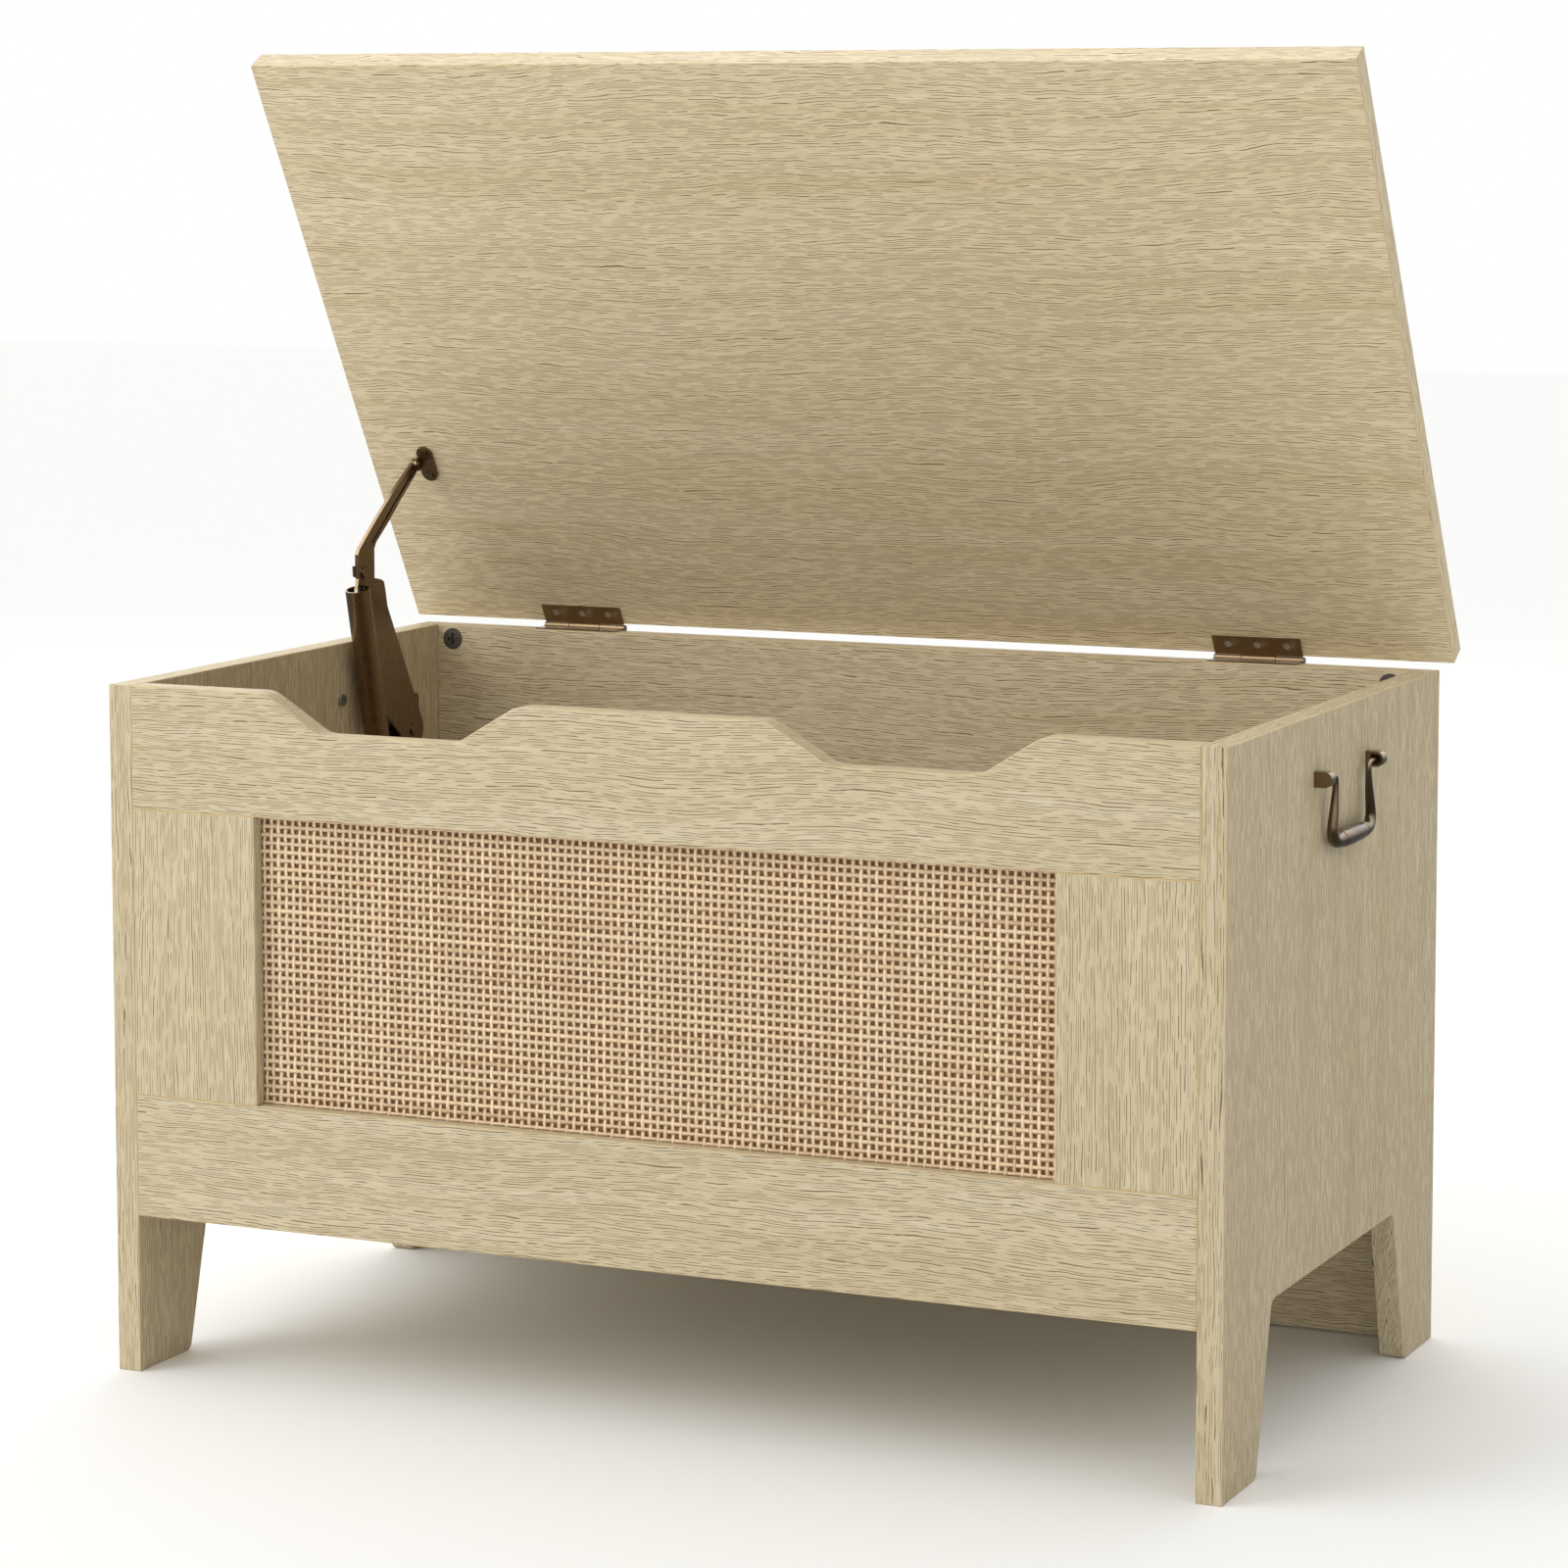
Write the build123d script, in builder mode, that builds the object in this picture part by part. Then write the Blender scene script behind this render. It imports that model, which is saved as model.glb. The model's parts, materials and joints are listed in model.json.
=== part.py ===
from build123d import *

import os
from math import atan2, cos, degrees, radians, sin, sqrt

# Wooden toy box: a board carcass with a woven rattan front, a lid on two butt hinges held open
# by a spring stay, and a bail handle on each side.
# Millimetres, +Z up, -Y is the front. The origin lies on the floor in the middle of the
# footprint that the box and its open lid cover. The lid is modelled open.

# Driving dimensions
BOARD = 16.0                    # thickness of every board
WIDTH = 734.0                   # over the side panels
DEPTH = 411.0
HEIGHT = 435.0
FRONT = -213.0                  # y of the front faces
LID_WIDTH = 752.0
LID_DEPTH = 439.0
LID_OPEN = 60.0                 # degrees from closed
RAIL_HEIGHT = 77.3
CLEARANCE_BELOW = 100.0         # height of the arches and of the bottom panel's underside
STILE_WIDTH = 87.0
EASE = 0.5                      # small chamfer on the boards' edges

# Places that follow from them
BACK = FRONT + DEPTH
SIDE = WIDTH / 2
INNER = SIDE - BOARD
INNER_FRONT = FRONT + BOARD
INNER_BACK = BACK - BOARD
MID_Y = -4.0                    # of the handles
OPENING_HALF = INNER - STILE_WIDTH
OPENING_LOW = CLEARANCE_BELOW + RAIL_HEIGHT
OPENING_HIGH = HEIGHT - RAIL_HEIGHT

# Side panel arch
LEG_FOOT = 60.0
LEG_TOP = 86.0
FOOT_RADIUS = 6.0
ARCH_RADIUS = 7.0

# Finger scallops in the top rail, measured from the middle of the box
SCALLOP_TOP_OUT = 256.0
SCALLOP_LOW_OUT = 217.0
SCALLOP_LOW_IN = 123.0
SCALLOP_TOP_IN = 82.0
SCALLOP_DEPTH = 24.5
SCALLOP_RADIUS = 18.0

# Cam fittings: a round cam in one board draws a bolt that is screwed into the other
CAM_RADIUS = 7.5
CAM_DEPTH = 12.0
CAM_SETBACK = 12.0              # from the joint to the cam's centre
BOLT_RADIUS = 3.0
BOLT_BITE = 11.0                # length screwed into the side panel
BACK_CAM_HEIGHTS = (50.0, 425.5)
BOTTOM_CAM_DEPTHS = (-165.0, 150.0)
TOP_RAIL_CAM_HEIGHT = 396.0
BOTTOM_RAIL_CAM_HEIGHT = 138.5

# Dowels and screws
DOWEL_RADIUS = 4.0
DOWEL_LENGTH = 30.0
STILE_DOWEL_OFFSETS = (290.0, 325.0)
BOTTOM_DOWELS = (-200.0, 0.0, 200.0)
BOTTOM_SCREWS = (-250.0, -85.0, 85.0, 250.0)
SCREW_RADIUS = 2.5
SCREW_HEAD_RADIUS = 4.75
SCREW_HEAD = 2.5
SCREW_LENGTH = 42.0

# Rattan panel
WEAVE_RECESS = 8.0
WEAVE = 1.5
PANEL_GAP = 0.2
STRIP_WIDTH = 18.0
STRIP_THICKNESS = 4.0
STRIP_LAP = 8.0                 # how far a strip covers the backing board
SMALL_SCREW_RADIUS = 1.5
SMALL_HEAD_RADIUS = 3.0
SMALL_HEAD = 1.5
STRIP_SCREW_LENGTH = 13.0

# Hinges
HINGE_SPREAD = 245.0            # from the middle of the box to a hinge's centre
HINGE_LENGTH = 60.0
HINGE_BEHIND = 3.0              # pin behind the back face
HINGE_ABOVE = 1.0               # pin above the rim
LEAF = 0.85
LEAF_REACH = 14.0
KNUCKLE_RADIUS = 2.6
KNUCKLE_GAP = 0.4
MIDDLE_KNUCKLE = 23.2
PIN_RADIUS = 1.2
RUNNING_GAP = 0.05
LEAF_SCREWS = (-20.0, 0.0, 20.0)
LEAF_SCREW_HEAD_RADIUS = 2.4
LEAF_SCREW_RADIUS = 1.3
LEAF_SCREW_LENGTH = 12.0

# Lid stay: points are (y, z)
STAY_LID_PIVOT = (130.4, 550.2)
STAY_KNEE = (58.0, 482.0)
TUBE_MOUTH = (49.5, 472.0)
TUBE_LEAN = 13.5                # degrees towards the front
TUBE_LENGTH = 105.0
TUBE_RADIUS = 8.25
TUBE_WALL = 1.0
TUBE_X = -339.0
BASE_PLATE = 1.5
FLANGE_X = -342.5
FLANGE = 1.5
ARM_X = -340.7
ARM = 2.5
GROOVE_DEPTH = 1.2
GROOVE_WIDTH = 1.5
TAB_X = -337.8
TAB = 1.5
STAY_PIN_RADIUS = 2.0
PIN_HEAD = 1.0
PIN_HEAD_RADIUS = 4.2
SIDE_GAP = 0.3                  # between the stay's moving plates
STAY_BOSS_RADIUS = 14.0
BASE_SCREW_LENGTH = 12.0
BRACKET_LENGTH = 27.0
BRACKET_WIDTH = 11.5
BRACKET_THICKNESS = 2.0
BRACKET_CENTRE = 129.5          # from the lid's back edge
BRACKET_SCREW_SPREAD = 18.6
LID_PIN_HEAD_RADIUS = 2.8
ARM_END_RADIUS = 4.2
ROD_RADIUS = 1.5
ROD_X = -336.2
ROD_FOOT = 92.0                 # depth of the rod's lower end below the mouth
PISTON = 3.0
PISTON_RADIUS = 6.8
ROD_TRAVEL = 13.7               # how far the piston rises as the lid closes
SEAT_DEPTH = 9.0
SEAT = 1.5
SPRING_RADIUS = 6.0
SPRING_WIRE = 0.65
SPRING_TURNS = 14
CRANK_RADIUS = 14.0
CRANK_ANGLE = 238.5             # from +Y towards +Z
CRANK_PIN_RADIUS = 1.4
HEEL_RADIUS = 2.6
YOKE_X = -337.9
YOKE = 1.6
YOKE_SLOT = (7.6, 4.0)          # across and along the tube
YOKE_RIM = 1.2
YOKE_OFFSET = -1.35             # of the slot's centre from the tube's axis, towards the back
YOKE_DEPTH = 2.44               # of the slot's centre below the mouth

# Bail handles
HANDLE_HEIGHT = 397.0
POST_SPREAD = 50.5
POST_HEIGHT = 9.6
POST_REACH = 11.2
POST_WIDTH = 8.0
POST_WALL = 1.6
POST_BASE = 3.5
POST_BLIND = 0.6                # metal left outside the bail tip's blind hole
BAIL_OUT = 6.4                  # bail axis off the panel's face
BAIL_TIP_RADIUS = 1.5
BAIL_TIP_END = 53.6             # half the length over the tips
BAIL_TOP_HALF = 32.6            # half the spread of the legs' tops
BAIL_TOP_RADIUS = 1.8
BAIL_KNEE_HALF = 36.5
BAIL_KNEE_RISE = 5.0
BAIL_LEG_RADIUS = 3.0
BAIL_NECK_RADIUS = 4.0
GRIP_RADIUS = 5.7
GRIP_END_RADIUS = 5.0
GRIP_HALF = 22.5
GRIP_GROOVE = 0.8
GRIP_GROOVE_DEPTH = 0.7
GRIP_GROOVE_INSETS = (1.0, 3.6)   # grooves in from each end of the grip
BAIL_DROP = 39.7
HANDLE_BOLT_RADIUS = 2.0
HANDLE_BOLT_HEAD_RADIUS = 4.0
HANDLE_BOLT_HEAD = 2.4
HANDLE_BOLT_BITE = 3.0


def turned(y, z, degrees):
    """The (y, z) offset turned about +X."""
    c, s = cos(radians(degrees)), sin(radians(degrees))
    return c * y - s * z, s * y + c * z


HINGE_Y = BACK + HINGE_BEHIND
HINGE_Z = HEIGHT + HINGE_ABOVE
LID_OFFSET = turned(-HINGE_BEHIND, HINGE_ABOVE, -LID_OPEN)
LID_NORMAL = turned(0, 1, -LID_OPEN)

# The lid's own plane: origin at its back lower edge, y towards the back, z out of its top face
LID_PLANE = Plane(
    origin=(0, HINGE_Y + LID_OFFSET[0], HINGE_Z + LID_OFFSET[1]),
    x_dir=(1, 0, 0),
    z_dir=(0, LID_NORMAL[0], LID_NORMAL[1]),
)

# The stay is a parallelogram, so its base pivot follows from the other three
STAY_BASE = (HINGE_Y + STAY_KNEE[0] - STAY_LID_PIVOT[0], HINGE_Z + STAY_KNEE[1] - STAY_LID_PIVOT[1])


def along_tube(distance, offset=0.0):
    """(y, z) of the point that far down the stay's tube from its mouth, and off its axis to the back."""
    down = (sin(radians(TUBE_LEAN)), -cos(radians(TUBE_LEAN)))
    return (
        TUBE_MOUTH[0] + distance * down[0] - offset * down[1],
        TUBE_MOUTH[1] + distance * down[1] + offset * down[0],
    )


def save(piece, name):
    """Labels a finished piece and writes its STEP file."""
    piece.part.label = name
    export_step(piece.part, f"parts/{name}.step")


def across(x, y, z):
    """A plane at that point whose z runs along +X."""
    return Plane(origin=(x, y, z), x_dir=(0, 1, 0), z_dir=(1, 0, 0))


def backwards(x, y, z):
    """A plane at that point whose z runs along +Y."""
    return Plane(origin=(x, y, z), x_dir=(1, 0, 0), z_dir=(0, 1, 0))


def upwards(x, y, z):
    """A plane at that point whose z runs along +Z."""
    return Plane(origin=(x, y, z))


def pins(planes, radius, length, mode=Mode.ADD):
    """Round pins, or holes with Mode.SUBTRACT, that start on each plane and run along its z."""
    with BuildSketch(*planes) as discs:
        Circle(radius)
    extrude(discs.sketch, amount=length, mode=mode)


def slab(low, high, mode=Mode.ADD):
    """A box between two corners."""
    size = [b - a for a, b in zip(low, high)]
    middle = [(a + b) / 2 for a, b in zip(low, high)]
    with Locations(tuple(middle)):
        Box(*size, mode=mode)


# Fitting places, each a plane whose z runs along the fitting
def end_planes(y, z, sign, start):
    """A plane at an end joint of a board, start away from the joint on the board's side."""
    return Plane(origin=(sign * (INNER - start), y, z), x_dir=(0, 1, 0), z_dir=(sign, 0, 0))


BACK_MID = (INNER_BACK + BACK) / 2
FRONT_MID = (FRONT + INNER_FRONT) / 2
BOTTOM_MID = CLEARANCE_BELOW + BOARD / 2
END_JOINTS = (
    [(BACK_MID, z) for z in BACK_CAM_HEIGHTS]
    + [(FRONT_MID, TOP_RAIL_CAM_HEIGHT), (FRONT_MID, BOTTOM_RAIL_CAM_HEIGHT)]
    + [(y, BOTTOM_MID) for y in BOTTOM_CAM_DEPTHS]
)
CAM_X = INNER - CAM_SETBACK


def back_cams(height):
    """Cam centres on the back panel's inner face."""
    return [backwards(sign * CAM_X, INNER_BACK, height) for sign in (-1, 1)]


def rail_cams(height):
    """Cam centres on a front rail's inner face."""
    return [backwards(sign * CAM_X, INNER_FRONT - CAM_DEPTH, height) for sign in (-1, 1)]


def bottom_cams(depth):
    """Cam centres on the bottom panel's underside."""
    return [upwards(sign * CAM_X, depth, CLEARANCE_BELOW) for sign in (-1, 1)]


def board_bolt_holes(joints):
    """Bores in a board's ends for the cam bolts."""
    for y, z in joints:
        pins([end_planes(y, z, s, CAM_SETBACK) for s in (-1, 1)], BOLT_RADIUS, CAM_SETBACK, Mode.SUBTRACT)


def handle_places(sign):
    """Where the two handle posts meet a side panel's outer face."""
    return [(sign * SIDE, MID_Y + end * POST_SPREAD, HANDLE_HEIGHT) for end in (-1, 1)]


BASE_SCREW_OFFSETS = ((16.0, 16.0), (16.0, -16.0), (-14.0, -18.0))
BASE_SCREWS = [(STAY_BASE[0] + dy, STAY_BASE[1] + dz) for dy, dz in BASE_SCREW_OFFSETS]


def make_side_panel(sign, name):
    """A side panel: a board with an arch between its two legs."""
    with BuildPart() as panel:
        with BuildSketch(Plane.YZ.offset(INNER if sign > 0 else -SIDE)):
            with BuildLine():
                Polyline(
                    (FRONT, 0), (FRONT + LEG_FOOT, 0), (FRONT + LEG_TOP, CLEARANCE_BELOW),
                    (BACK - LEG_TOP, CLEARANCE_BELOW), (BACK - LEG_FOOT, 0), (BACK, 0),
                    (BACK, HEIGHT), (FRONT, HEIGHT), close=True,
                )
            make_face()
            inner_corners = vertices().filter_by_position(Axis.X, FRONT + 1, BACK - 1)
            fillet(inner_corners.filter_by_position(Axis.Y, -1, 1), FOOT_RADIUS)
            arch_corners = vertices().filter_by_position(Axis.Y, CLEARANCE_BELOW - 1, CLEARANCE_BELOW + 1)
            fillet(arch_corners, ARCH_RADIUS)
        extrude(amount=BOARD)
        chamfer(edges(), EASE)
        pins([end_planes(y, z, sign, 0) for y, z in END_JOINTS], BOLT_RADIUS, BOLT_BITE, Mode.SUBTRACT)
        through = [across(min(sign * SIDE, sign * INNER), y, z) for _, y, z in handle_places(sign)]
        pins(through, HANDLE_BOLT_RADIUS, BOARD, Mode.SUBTRACT)
        if sign < 0:
            holes = [across(-INNER - BASE_SCREW_LENGTH, y, z) for y, z in BASE_SCREWS]
            pins(holes, SMALL_SCREW_RADIUS, BASE_SCREW_LENGTH, Mode.SUBTRACT)
    save(panel, name)


def make_back_panel():
    with BuildPart() as panel:
        slab((-INNER, INNER_BACK, 2), (INNER, BACK, HEIGHT))
        chamfer(edges(), EASE)
        board_bolt_holes([(BACK_MID, z) for z in BACK_CAM_HEIGHTS])
        for height in BACK_CAM_HEIGHTS:
            pins(back_cams(height), CAM_RADIUS, CAM_DEPTH, Mode.SUBTRACT)
        shanks = [backwards(x, INNER_BACK, BOTTOM_MID) for x in BOTTOM_SCREWS]
        pins(shanks, SCREW_RADIUS, BOARD, Mode.SUBTRACT)
        heads = [backwards(x, BACK - SCREW_HEAD, BOTTOM_MID) for x in BOTTOM_SCREWS]
        pins(heads, SCREW_HEAD_RADIUS, SCREW_HEAD, Mode.SUBTRACT)
        pins(leaf_screw_planes(), LEAF_SCREW_RADIUS, LEAF_SCREW_LENGTH, Mode.SUBTRACT)
    save(panel, "back_panel")


def make_bottom_panel():
    with BuildPart() as panel:
        slab((-INNER, INNER_FRONT, CLEARANCE_BELOW), (INNER, INNER_BACK, CLEARANCE_BELOW + BOARD))
        board_bolt_holes([(y, BOTTOM_MID) for y in BOTTOM_CAM_DEPTHS])
        for depth in BOTTOM_CAM_DEPTHS:
            pins(bottom_cams(depth), CAM_RADIUS, CAM_DEPTH, Mode.SUBTRACT)
        screws = [backwards(x, BACK - SCREW_LENGTH, BOTTOM_MID) for x in BOTTOM_SCREWS]
        pins(screws, SCREW_RADIUS, SCREW_LENGTH - BOARD, Mode.SUBTRACT)
        pins(bottom_dowel_planes(), DOWEL_RADIUS, DOWEL_LENGTH, Mode.SUBTRACT)
    save(panel, "bottom_panel")


def bottom_dowel_planes():
    """Dowels from the bottom rail into the bottom panel's front edge."""
    return [backwards(x, INNER_FRONT - 10, BOTTOM_MID) for x in BOTTOM_DOWELS]


def stile_dowel_planes(seam):
    """Dowels between the stiles and the rail whose edge is at that height."""
    return [
        upwards(sign * x, FRONT_MID, seam - DOWEL_LENGTH / 2)
        for sign in (-1, 1)
        for x in STILE_DOWEL_OFFSETS
    ]


def scallop_points(sign):
    """One finger scallop's outline on the rail's top edge, as (x, z)."""
    low = HEIGHT - SCALLOP_DEPTH
    return [
        (sign * SCALLOP_TOP_OUT, HEIGHT), (sign * SCALLOP_LOW_OUT, low),
        (sign * SCALLOP_LOW_IN, low), (sign * SCALLOP_TOP_IN, HEIGHT),
    ]


def make_top_rail():
    left = scallop_points(-1)
    right = scallop_points(1)[::-1]
    with BuildPart() as rail:
        with BuildSketch(Plane.XZ.offset(-INNER_FRONT)):
            with BuildLine():
                Polyline((-INNER, HEIGHT), *left, *right, (INNER, HEIGHT),
                         (INNER, OPENING_HIGH), (-INNER, OPENING_HIGH), close=True)
            make_face()
            bends = [
                v for v in vertices()
                if v.Y > OPENING_HIGH + 1 and abs(v.X) < INNER - 1
            ]
            fillet(bends, SCALLOP_RADIUS)
        extrude(amount=BOARD)
        chamfer(edges().filter_by(GeomType.LINE), EASE)
        board_bolt_holes([(FRONT_MID, TOP_RAIL_CAM_HEIGHT)])
        pins(rail_cams(TOP_RAIL_CAM_HEIGHT), CAM_RADIUS, CAM_DEPTH, Mode.SUBTRACT)
        pins(stile_dowel_planes(OPENING_HIGH), DOWEL_RADIUS, DOWEL_LENGTH, Mode.SUBTRACT)
        pins(strip_screw_planes("top"), SMALL_SCREW_RADIUS, STRIP_SCREW_LENGTH, Mode.SUBTRACT)
    save(rail, "front_top_rail")


def make_bottom_rail():
    with BuildPart() as rail:
        slab((-INNER, FRONT, CLEARANCE_BELOW), (INNER, INNER_FRONT, OPENING_LOW))
        chamfer(edges(), EASE)
        board_bolt_holes([(FRONT_MID, BOTTOM_RAIL_CAM_HEIGHT)])
        pins(rail_cams(BOTTOM_RAIL_CAM_HEIGHT), CAM_RADIUS, CAM_DEPTH, Mode.SUBTRACT)
        pins(stile_dowel_planes(OPENING_LOW), DOWEL_RADIUS, DOWEL_LENGTH, Mode.SUBTRACT)
        pins(bottom_dowel_planes(), DOWEL_RADIUS, DOWEL_LENGTH, Mode.SUBTRACT)
        pins(strip_screw_planes("bottom"), SMALL_SCREW_RADIUS, STRIP_SCREW_LENGTH, Mode.SUBTRACT)
    save(rail, "front_bottom_rail")


def make_stile(sign, name):
    edge, outer = sign * OPENING_HALF, sign * INNER
    with BuildPart() as stile:
        slab((min(edge, outer), FRONT, OPENING_LOW), (max(edge, outer), INNER_FRONT, OPENING_HIGH))
        chamfer(edges(), EASE)
        for seam in (OPENING_LOW, OPENING_HIGH):
            pins(stile_dowel_planes(seam), DOWEL_RADIUS, DOWEL_LENGTH, Mode.SUBTRACT)
        pins(strip_screw_planes("sides"), SMALL_SCREW_RADIUS, STRIP_SCREW_LENGTH, Mode.SUBTRACT)
    save(stile, name)


def strip_screw_planes(which):
    """Screws through the retaining strips into the frame, their points towards the front."""
    off = STRIP_WIDTH / 2 - STRIP_LAP / 2
    y = INNER_FRONT + STRIP_THICKNESS - STRIP_SCREW_LENGTH
    low = [(x, OPENING_LOW - off) for x in (-220, -75, 75, 220)]
    high = [(x, OPENING_HIGH + off) for x in (-220, -75, 75, 220)]
    sides = [(s * (OPENING_HALF + off), z) for s in (-1, 1) for z in (OPENING_LOW + 35, OPENING_HIGH - 35)]
    chosen = {"bottom": low, "top": high, "sides": sides, "all": low + high + sides}[which]
    return [backwards(x, y, z) for x, z in chosen]


def make_rattan_panel():
    half = OPENING_HALF - PANEL_GAP
    low, high = OPENING_LOW + PANEL_GAP, OPENING_HIGH - PANEL_GAP
    weave_front = FRONT + WEAVE_RECESS
    weave_back = weave_front + WEAVE
    with BuildPart() as weave:
        slab((-half, weave_front, low), (half, weave_back, high))
    save(weave, "rattan_webbing")
    with BuildPart() as backing:
        slab((-half, weave_back, low), (half, INNER_FRONT, high))
    save(backing, "rattan_backing_board")


def make_retaining_strips():
    """Four strips round the opening, butted at the corners."""
    cover = STRIP_WIDTH - STRIP_LAP
    y0, y1 = INNER_FRONT, INNER_FRONT + STRIP_THICKNESS
    out, inn = OPENING_HALF + cover, OPENING_HALF - STRIP_LAP
    with BuildPart() as strips:
        slab((-out, y0, OPENING_LOW - cover), (out, y1, OPENING_LOW + STRIP_LAP))
        slab((-out, y0, OPENING_HIGH - STRIP_LAP), (out, y1, OPENING_HIGH + cover))
        gap = 0.2
        for sign in (-1, 1):
            x0, x1 = sorted((sign * inn, sign * out))
            slab((x0, y0, OPENING_LOW + STRIP_LAP + gap), (x1, y1, OPENING_HIGH - STRIP_LAP - gap))
        planes = strip_screw_planes("all")
        pins(planes, SMALL_SCREW_RADIUS, STRIP_SCREW_LENGTH, Mode.SUBTRACT)
        pins(strip_heads(planes), SMALL_HEAD_RADIUS, SMALL_HEAD, Mode.SUBTRACT)
    save(strips, "retaining_strips")
    with BuildPart() as screws:
        pins(planes, SMALL_SCREW_RADIUS, STRIP_SCREW_LENGTH)
        pins(strip_heads(planes), SMALL_HEAD_RADIUS, SMALL_HEAD)
    save(screws, "strip_screws")


def strip_heads(planes):
    """Where the heads of the strip screws start."""
    return [p.offset(STRIP_SCREW_LENGTH - SMALL_HEAD) for p in planes]


def make_fasteners():
    """Cams, cam bolts, dowels and the screws into the bottom panel."""
    with BuildPart() as cams:
        for height in BACK_CAM_HEIGHTS:
            pins(back_cams(height), CAM_RADIUS, CAM_DEPTH)
        for height in (TOP_RAIL_CAM_HEIGHT, BOTTOM_RAIL_CAM_HEIGHT):
            pins(rail_cams(height), CAM_RADIUS, CAM_DEPTH)
        for depth in BOTTOM_CAM_DEPTHS:
            pins(bottom_cams(depth), CAM_RADIUS, CAM_DEPTH)
        board_bolt_holes(END_JOINTS)
        cross_slots()
    save(cams, "cam_discs")
    with BuildPart() as bolts:
        for y, z in END_JOINTS:
            shanks = [end_planes(y, z, s, CAM_SETBACK) for s in (-1, 1)]
            pins(shanks, BOLT_RADIUS, CAM_SETBACK + BOLT_BITE)
    save(bolts, "cam_bolts")
    with BuildPart() as dowels:
        for seam in (OPENING_LOW, OPENING_HIGH):
            pins(stile_dowel_planes(seam), DOWEL_RADIUS, DOWEL_LENGTH)
        pins(bottom_dowel_planes(), DOWEL_RADIUS, DOWEL_LENGTH)
    save(dowels, "dowels")
    with BuildPart() as screws:
        shanks = [backwards(x, BACK - SCREW_LENGTH, BOTTOM_MID) for x in BOTTOM_SCREWS]
        pins(shanks, SCREW_RADIUS, SCREW_LENGTH)
        heads = [backwards(x, BACK - SCREW_HEAD, BOTTOM_MID) for x in BOTTOM_SCREWS]
        pins(heads, SCREW_HEAD_RADIUS, SCREW_HEAD)
    save(screws, "bottom_screws")


def cross_slots():
    """The driver's cross in each cam's face."""
    length, width, depth = 8.0, 1.4, 1.6
    faces = [p for z in BACK_CAM_HEIGHTS for p in back_cams(z)]
    for height in (TOP_RAIL_CAM_HEIGHT, BOTTOM_RAIL_CAM_HEIGHT):
        faces += [p.offset(CAM_DEPTH - depth) for p in rail_cams(height)]
    faces += [p for y in BOTTOM_CAM_DEPTHS for p in bottom_cams(y)]
    with BuildSketch(*faces) as crosses:
        Rectangle(length, width)
        Rectangle(width, length)
    extrude(crosses.sketch, amount=depth, mode=Mode.SUBTRACT)


def make_lid():
    with BuildPart() as lid:
        with BuildSketch(LID_PLANE):
            with Locations((0, -LID_DEPTH / 2)):
                Rectangle(LID_WIDTH, LID_DEPTH)
        extrude(amount=BOARD)
        chamfer(edges(), EASE)
        pins(lid_leaf_screw_planes(), LEAF_SCREW_RADIUS, LEAF_SCREW_LENGTH, Mode.SUBTRACT)
        pins(bracket_screw_planes(0), SMALL_SCREW_RADIUS, BASE_SCREW_LENGTH, Mode.SUBTRACT)
    save(lid, "lid")


def in_lid(x, y, z):
    """A plane at a point of the lid's own plane, its z out of the lid's top."""
    return Plane(origin=LID_PLANE.from_local_coords((x, y, z)), x_dir=(1, 0, 0), z_dir=LID_PLANE.z_dir)


def leaf_screw_planes():
    """Screws of the lower leaves, from their points in the back panel's top edge."""
    y = BACK - LEAF_REACH / 2 - 1
    return [
        upwards(sign * HINGE_SPREAD + x, y, HEIGHT - LEAF_SCREW_LENGTH)
        for sign in (-1, 1)
        for x in LEAF_SCREWS
    ]


def lid_leaf_screw_planes():
    """Screws of the upper leaves, from the lid's inner face."""
    return [
        in_lid(sign * HINGE_SPREAD + x, -LEAF_REACH / 2 - 1, 0)
        for sign in (-1, 1)
        for x in LEAF_SCREWS
    ]


def knuckles(centre, lower):
    """(start, length) of a leaf's knuckles along X."""
    half, middle = HINGE_LENGTH / 2, MIDDLE_KNUCKLE / 2
    if lower:
        length = half - middle - KNUCKLE_GAP
        return [(centre - half, length), (centre + half - length, length)]
    return [(centre - middle, 2 * middle)]


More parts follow.
